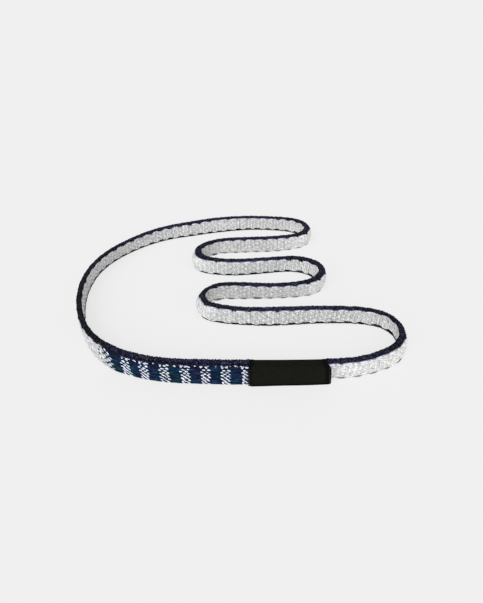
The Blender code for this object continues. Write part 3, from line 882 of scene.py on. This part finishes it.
def upper_wraps():
    """Dark yarns laid over the upper edge side by side, each from one face to the other."""
    place = np.arange(WRAP_START, WRAP_STOP, WRAP_PITCH)
    count = len(place)
    place = place + CHANCE.uniform(-WRAP_PLACE_JITTER, WRAP_PLACE_JITTER, count)
    dark = LOOP.at(LOOP.dark, place)
    outer = WRAP_REACH + dark + lump(place, 1)
    inner = WRAP_REACH + dark + lump(place, -1)
    past_joint = eased(place - WEAVE_START, WEAVE_START_EASE)
    end_reach = JOINT_WRAP_END + JOINT_END_RISE * eased(place - JOINT_TOP_END, JOINT_END_EASE)
    outer = end_reach + (outer - end_reach) * past_joint
    second_layer = place > LOOP_LENGTH - LAP_MARGIN
    outer = np.where(second_layer, JOINT_WRAP_REACH, outer)
    inner = np.where(second_layer | (place < LAP_LENGTH), JOINT_WRAP_REACH, inner)
    further_out, further_in, wider, higher, leaning = jitters(count, WRAP_JITTER)
    outer, inner = outer + further_out, inner + further_in
    heights = np.where(label_covers(place), COVERED_WRAP_SHARE * WRAP_HEIGHT, WRAP_HEIGHT * (1 + higher))
    rows = (place, (outer - inner) / 2, (outer + inner) / sin(WRAP_SLANT), WRAP_WIDTH * (1 + wider),
            heights, WRAP_SLANT + leaning)
    # painted shade: darker yarns where the strap turns and on the long arc at the left
    turned = eased(np.abs(LOOP.at(LOOP.bend, place)), TURNED_BEND)
    on_arc = eased(place - ARC_START, ARC_FADE) * eased(ARC_END - place, ARC_FADE)
    tones = CHANCE.uniform(*WRAP_TONES, count) * (1 - TURNED_PAINTED_SHADE * turned) * (1 - ARC_PAINTED_SHADE * on_arc)
    grains("upper_edge_wraps", WRAP_GRAIN, rows, tones, NAVY, "upper_edge_yarns")


def lower_dashes():
    """Dark yarns that show along the lower edge, once in each repeat of the weave."""
    blocks = []
    for side, shift, length, width, level, faint_share, faint_tone in DASH_KINDS:
        place = repeats_along(shift - side * DASH_SHIFT)
        place = place[(place > DASH_INSET) & (place < STRAP_LENGTH - DASH_INSET) & ~in_joint(place, side)]
        place = place[(side < 0) | (place > BARE_END)]
        count = len(place)
        faint = CHANCE.uniform(0, 1, count) < faint_share
        size = np.where(faint & (side > 0), FAINT_DASH_SHARE, 1.0)
        tone = np.where(faint, faint_tone, DARK_DASH_TONE) + CHANCE.uniform(*DASH_TONE_SPREAD, count)
        moved, longer, wider, turned = jitters(count, DASH_JITTER)
        blocks.append((place + moved, side * CORE.reach_at(level), length * (1 + longer) * size,
                       width * (1 + wider) * size, DASH_HEIGHT, DASH_SLANT + turned, tone))
    *rows, tones = joined(blocks)
    grains("lower_edge_dashes", PLAIN_GRAIN, rows, np.clip(tones, 0, 1), DASH, "lower_edge_yarns")


# Joint


def tack_places():
    """Middles of the tacks, from the one just past the lap's inner end back to the strap's outer end."""
    first = LAP_LENGTH - TACK_INSET + TACK_PITCH
    count = int((first - TACK_INSET) // TACK_PITCH) + 1
    return [first - i * TACK_PITCH for i in range(count)]


def label_covers(places):
    """True where the label lies over the strap, in either layer of the lap."""
    return np.mod(places + LABEL_OVERHANG, LOOP_LENGTH) < LABEL_LENGTH


def pressed(heights, places):
    """Heights of the joint's yarns and threads, which the label presses flat."""
    return heights * np.where(label_covers(places), COVERED_THREAD_SHARE, 1.0)


def bare(places, reach):
    """True where the joint shows none of its own rows.

    That is under the round of the label's fold, which leaves no room, and past the rows' end along the top.
    """
    under_fold = label_covers(places) & (np.abs(reach) < UNDER_FOLD_REACH)
    past_top = (places > JOINT_TOP_END) & (places < LOOP_LENGTH) & (reach < JOINT_TOP_REACH)
    return under_fold | past_top


def joint_yarns(side):
    """Blue yarns in close level rows, on the outer face of the lap or on its inner face."""
    start, stop = YARN_SPANS[side]
    steps = np.arange(start, stop + YARN_PITCH, YARN_PITCH)
    levels = JOINT_ROWS if side > 0 else JOINT_ROWS[JOINT_FIRST_INNER_ROW:]
    place = (steps[:, None] + (np.arange(len(levels)) % 2)[None, :] * YARN_PITCH / 2).ravel()
    reach = np.tile(side * levels, len(steps))
    last = joint_end(reach) if side > 0 else stop
    keep = (place > start + YARN_LENGTH / 2) & (place < last - YARN_LENGTH / 4) & ~bare(place, reach)
    place, reach = place[keep], reach[keep]
    count = len(place)
    moved, wider, higher, turned = jitters(count, YARN_JITTER)
    place = place + moved
    heights = pressed(YARN_HEIGHT * (1 + higher), place)
    tones = CHANCE.uniform(0, 1, count)
    blocks = [(place, reach, YARN_LENGTH, YARN_WIDTH * (1 + wider), heights, turned, tones)]
    if side > 0:
        blocks.append((*(np.array(v) * MM for v in zip(*END_YARNS)), *END_YARN))
    *rows, tones = joined(blocks)
    face = FACES[side]
    grains("joint_yarns_" + face, PLAIN_GRAIN, rows, tones, BLUE, "joint_cover_" + face)


def end_threads():
    """Level threads of the tack at the joint's ragged end, in the same terms as tack_threads."""
    threads = []
    for row in range(1, JOINT_ROW_COUNT):
        left = JOINT_END_SLOPE * JOINT_ROWS[row] - END_THREADS_REACH
        for across in np.arange(END_THREAD_STARTS[row % len(END_THREAD_STARTS)], left, -END_THREAD_PITCH):
            threads.append((across, row, *END_THREAD))
    return threads


def tack_threads():
    """Threads of one tack as seen on a face: place to the right, row, length, width and slant.

    Threads lie in rows across a band. Each row is set to the right of the one nearer the middle row, so that
    they line up as arrowheads that point left. The topmost row is a line of dashes.
    """
    threads = []
    for row in range(1, JOINT_ROW_COUNT):
        length, width, slant = LOWER_THREAD if row > TACK_APEX_ROW else UPPER_THREAD
        start = TACK_ROW_SHIFT * abs(row - TACK_APEX_ROW) + TACK_APEX
        for k in range(-THREADS_EACH_WAY, THREADS_EACH_WAY):
            across = start + k * THREAD_PITCH
            left = max(across - length / 2, -TACK_HALF_WIDTH)
            right = min(across + length / 2, TACK_HALF_WIDTH)
            if right - left > length / 2:
                threads.append(((left + right) / 2, row, right - left, width, slant))
    return threads + [(across, 0, *TOP_DASH) for across in TOP_DASH_PLACES]


def tack(index, middle):
    """One tack's white threads, on the lap's outer face and, where two layers lie, on its inner face."""
    threads, spread = (tack_threads(), THREAD_JITTER) if index else (end_threads(), END_THREAD_JITTER)
    across, row, length, width, slant = (np.array(v) for v in zip(*threads))
    reach = JOINT_ROWS[row] + TOP_DASH_SHIFT * (row == 0)
    middle = middle + TACK_SHIFT + (END_TACK_SHIFTS[index] if index < len(END_TACK_SHIFTS) else 0)
    sides = [(1, middle)]
    if middle < LAP_LENGTH:
        sides.append((-1, middle + LOOP_LENGTH))
    place, reach, length, width, slant, top_dash = joined(
        (base - side * across, side * reach, length, width, slant, row == 0) for side, base in sides)
    spreads = np.where(top_dash, np.array([TOP_DASH_JITTER]).T, np.array([spread]).T)
    moved, dropped, longer, wider, turned, higher = jitters(len(place), spreads)
    place, reach = place + moved, reach + dropped
    rows = (place, reach, length * (1 + longer), width * (1 + wider),
            pressed(THREAD_HEIGHT * (1 + higher), place), slant + turned)
    on_lap = (place > THREAD_INSET) & (place < STRAP_LENGTH - THREAD_INSET)
    inner_top = -JOINT_ROWS[JOINT_FIRST_INNER_ROW] + JOINT_ROW_PITCH / 2
    keep = on_lap & ~((place > LOOP_LENGTH) & (reach > inner_top)) & ~bare(place, reach)
    rows = [v[keep] for v in rows]
    name = f"joint_tack_{index + 1:02d}"
    grains(name + "_threads", PLAIN_GRAIN, rows, CHANCE.uniform(0, 1, keep.sum()), THREAD, name)


# Label


class Sleeve:
    """The label's folded strip: half of its outer skin, from the middle of the fold to the open foot."""

    def __init__(self):
        half = LABEL_ROOM + LABEL_WALL
        turn = np.linspace(0, pi / 2, FOLD_STEPS)
        out, up = half - LABEL_ROUNDING * (1 - np.sin(turn)), LABEL_TOP - LABEL_ROUNDING * (1 - np.cos(turn))
        self.out = np.concatenate([[0], out, [half]])
        self.up = np.concatenate([[LABEL_TOP], up, [LABEL_BOTTOM]])
        self.reach = run_along(self.out, self.up)

    def drawn_in(self, places, up):
        """Places after the label's corners are rounded, near its fold and near its foot."""
        near = np.minimum(np.minimum(up - LABEL_BOTTOM, LABEL_TOP - up), LABEL_CORNER)
        inset = LABEL_CORNER - np.sqrt(np.maximum(LABEL_CORNER**2 - (LABEL_CORNER - near) ** 2, 0))
        middle = LABEL_LENGTH / 2 - LABEL_OVERHANG
        return middle + (places - middle) * (1 - inset / (LABEL_LENGTH / 2))

    def skin(self, places, reach, lift):
        """Points on the label, or lifted off it. Its hems stand proud, and its foot is slanted and uneven."""
        side, depth = np.sign(reach), np.abs(reach)
        out, up = np.interp(depth, self.reach, self.out), np.interp(depth, self.reach, self.up)
        turn = np.clip((out - (LABEL_ROOM + LABEL_WALL - LABEL_ROUNDING)) / LABEL_ROUNDING, 0, 1)
        from_end = np.minimum(places + LABEL_OVERHANG, LABEL_LENGTH - LABEL_OVERHANG - places)
        hem = 1 - eased(from_end - HEM_WIDTH, HEM_FADE)
        foot = 1 - eased(up - LABEL_BOTTOM - FOOT_HEM, FOOT_HEM_FADE)
        lift = lift + HEM_HEIGHT * np.maximum(hem, foot)
        low = 1 - up / LABEL_TOP
        to_left = (places + LABEL_OVERHANG) / LABEL_LENGTH
        taper = LABEL_TAPER * (1 - to_left) + LABEL_FOOT_TAPER * low
        wave = LABEL_WAVE * np.sin(places / LABEL_WAVE_PITCH) * low
        wave = wave - side * taper * np.clip(out / LABEL_ROOM, 0, 1)
        skew = (LABEL_SKEW_RIGHT * (1 - to_left) + LABEL_SKEW_LEFT * to_left) * low * (side > 0)
        places = self.drawn_in(places, up) - skew + LABEL_STRETCH * to_left
        out = side * (out + lift * np.sin(turn * pi / 2)) + wave + LAYER_PITCH / 2
        up = up + lift * np.cos(turn * pi / 2)
        return LOOP.points(places, out, up)


SLEEVE = Sleeve()


def label_sleeve():
    """The label: an outer skin and an inner one, joined along the rim. The hems are darker than the panel."""
    places = np.linspace(-LABEL_OVERHANG, LABEL_LENGTH - LABEL_OVERHANG, LABEL_STATIONS)
    half = np.concatenate([SLEEVE.reach[:-1], np.linspace(*SLEEVE.reach[-2:], PANEL_STEPS)[1:]])
    ring = np.concatenate([-half[:0:-1], half])
    width = len(ring)
    grid_place, grid_reach = np.repeat(places, width), np.tile(ring, len(places))
    size = len(grid_place)
    outer = SLEEVE.skin(grid_place, grid_reach, 0.0)
    inner = SLEEVE.skin(grid_place, grid_reach, -LABEL_WALL)
    faces = grid_faces(len(places), width, False)
    faces += [(size + a, size + d, size + c, size + b) for a, b, c, d in faces]
    rim = [*range(width), *range(2 * width - 1, size, width)]
    rim += [*range(size - 2, size - width - 1, -1), *range(size - 2 * width, 0, -width)]
    faces += [(a, b, size + b, size + a) for a, b in zip(rim, rim[1:] + rim[:1])]
    weave = np.tile(np.column_stack([grid_place, grid_reach]) / MM, (2, 1))
    left_hem = LABEL_LENGTH - LABEL_OVERHANG + LEFT_HEM_CUT - grid_place
    from_end = np.minimum(grid_place + LABEL_OVERHANG, left_hem)
    panel = eased(from_end - HEM_WIDTH, HEM_SHADE_FADE)
    panel = np.tile(panel * eased(outer[:, 2] - FOOT_HEM, FOOT_HEM_FADE), 2)
    points = np.concatenate([outer, inner])
    maps = {"weave": weave, "fibre": weave}
    new_piece("label_sleeve", points, faces, maps, panel, TAPE, "label_strip")


def label_stitches(end):
    """Sewing along one end of the label, on both of its panels."""
    line, length, slant = STITCH_ENDS[end]
    levels = np.arange(LOWEST_STITCH, HIGHEST_STITCH, STITCH_PITCH)
    reach = np.interp(-levels, -SLEEVE.up, SLEEVE.reach)
    reach = np.concatenate([reach, -reach])
    moved, turned = jitters(len(reach), STITCH_JITTER)
    rows = (line + moved, reach, length, STITCH_WIDTH, STITCH_HEIGHT, slant + turned)
    tones = np.full(len(reach), 0.5)
    grains("label_stitches_" + end, PLAIN_GRAIN, rows, tones, BLACK_THREAD, "label_stitching_" + end,
           surface=SLEEVE.skin, sink=STITCH_SINK)


# Stage, lights and camera


def floor():
    """A pale floor that keeps the object's shadow; part of its paleness is its own for the camera."""
    mesh = bpy.data.meshes.new("floor")
    corners = [(-1, -1), (1, -1), (1, 1), (-1, 1)]
    mesh.from_pydata([(x * FLOOR_HALF, y * FLOOR_HALF, 0) for x, y in corners], [], [(0, 1, 2, 3)])
    material = bpy.data.materials.new("floor_pale")
    material.use_nodes = True
    tree = material.node_tree
    shader = tree.nodes["Principled BSDF"]
    fill(tree, shader, {"Base Color": PALE, "Roughness": 1.0, "Specular IOR Level": 0.0})
    glow = node(tree, "Emission", {"Color": PALE, "Strength": 1.0})
    seen = node(tree, "LightPath").outputs["Is Camera Ray"]
    share = node(tree, "Math", {0: seen, 1: FLOOR_GLOW_SHARE}, operation="MULTIPLY")
    mix = node(tree, "MixShader", {0: share, 1: shader, 2: glow})
    fill(tree, tree.nodes["Material Output"], {"Surface": mix})
    mesh.materials.append(material)
    placed("floor", mesh)


def world():
    """An even sky; the camera, and mirrors and glass, see the pale backdrop."""
    sky = bpy.data.worlds.new("sky")
    bpy.context.scene.world = sky
    sky.use_nodes = True
    tree = sky.node_tree
    light = tree.nodes["Background"]
    fill(tree, light, {"Color": (1.0, 1.0, 1.0, 1.0), "Strength": SKY_STRENGTH})
    backdrop = node(tree, "Background", {"Color": PALE, "Strength": 1.0})
    path = node(tree, "LightPath").outputs
    seen = path["Is Camera Ray"]
    for ray in ("Is Transmission Ray", "Is Glossy Ray"):
        seen = node(tree, "Math", {0: seen, 1: path[ray]}, operation="MAXIMUM")
    mix = node(tree, "MixShader", {0: seen, 1: light, 2: backdrop})
    fill(tree, tree.nodes["World Output"], {"Surface": mix})


def sun(name, strength, spread, elevation, azimuth):
    """A soft distant lamp. Azimuth 0 shines from -Y, and 90 from +X."""
    data = bpy.data.lights.new(name, "SUN")
    data.energy = strength
    data.angle = radians(spread)
    placed(name, data).rotation_euler = (radians(90 - elevation), 0, radians(azimuth))


def camera():
    data = bpy.data.cameras.new("camera")
    data.lens = CAMERA_LENS
    data.sensor_width = CAMERA_SENSOR
    data.clip_start = 0.005
    data.clip_end = 20.0
    thing = placed("camera", data)
    thing.location = CAMERA_PLACE
    thing.rotation_euler = (pi / 2 - CAMERA_PITCH, 0, 0)
    bpy.context.scene.camera = thing


def main():
    bpy.context.scene.view_settings.view_transform = "Standard"
    camera()
    floor()
    world()
    sun("key", strength=1.75, spread=60, elevation=42, azimuth=-35)
    sun("fill", strength=0.8, spread=70, elevation=26, azimuth=35)
    strap_core()
    for side in (1, -1):
        white_floats(side)
        joint_yarns(side)
    upper_wraps()
    lower_dashes()
    for index, place in enumerate(tack_places()):
        tack(index, place)
    label_sleeve()
    for end in ("left", "right"):
        label_stitches(end)


main()
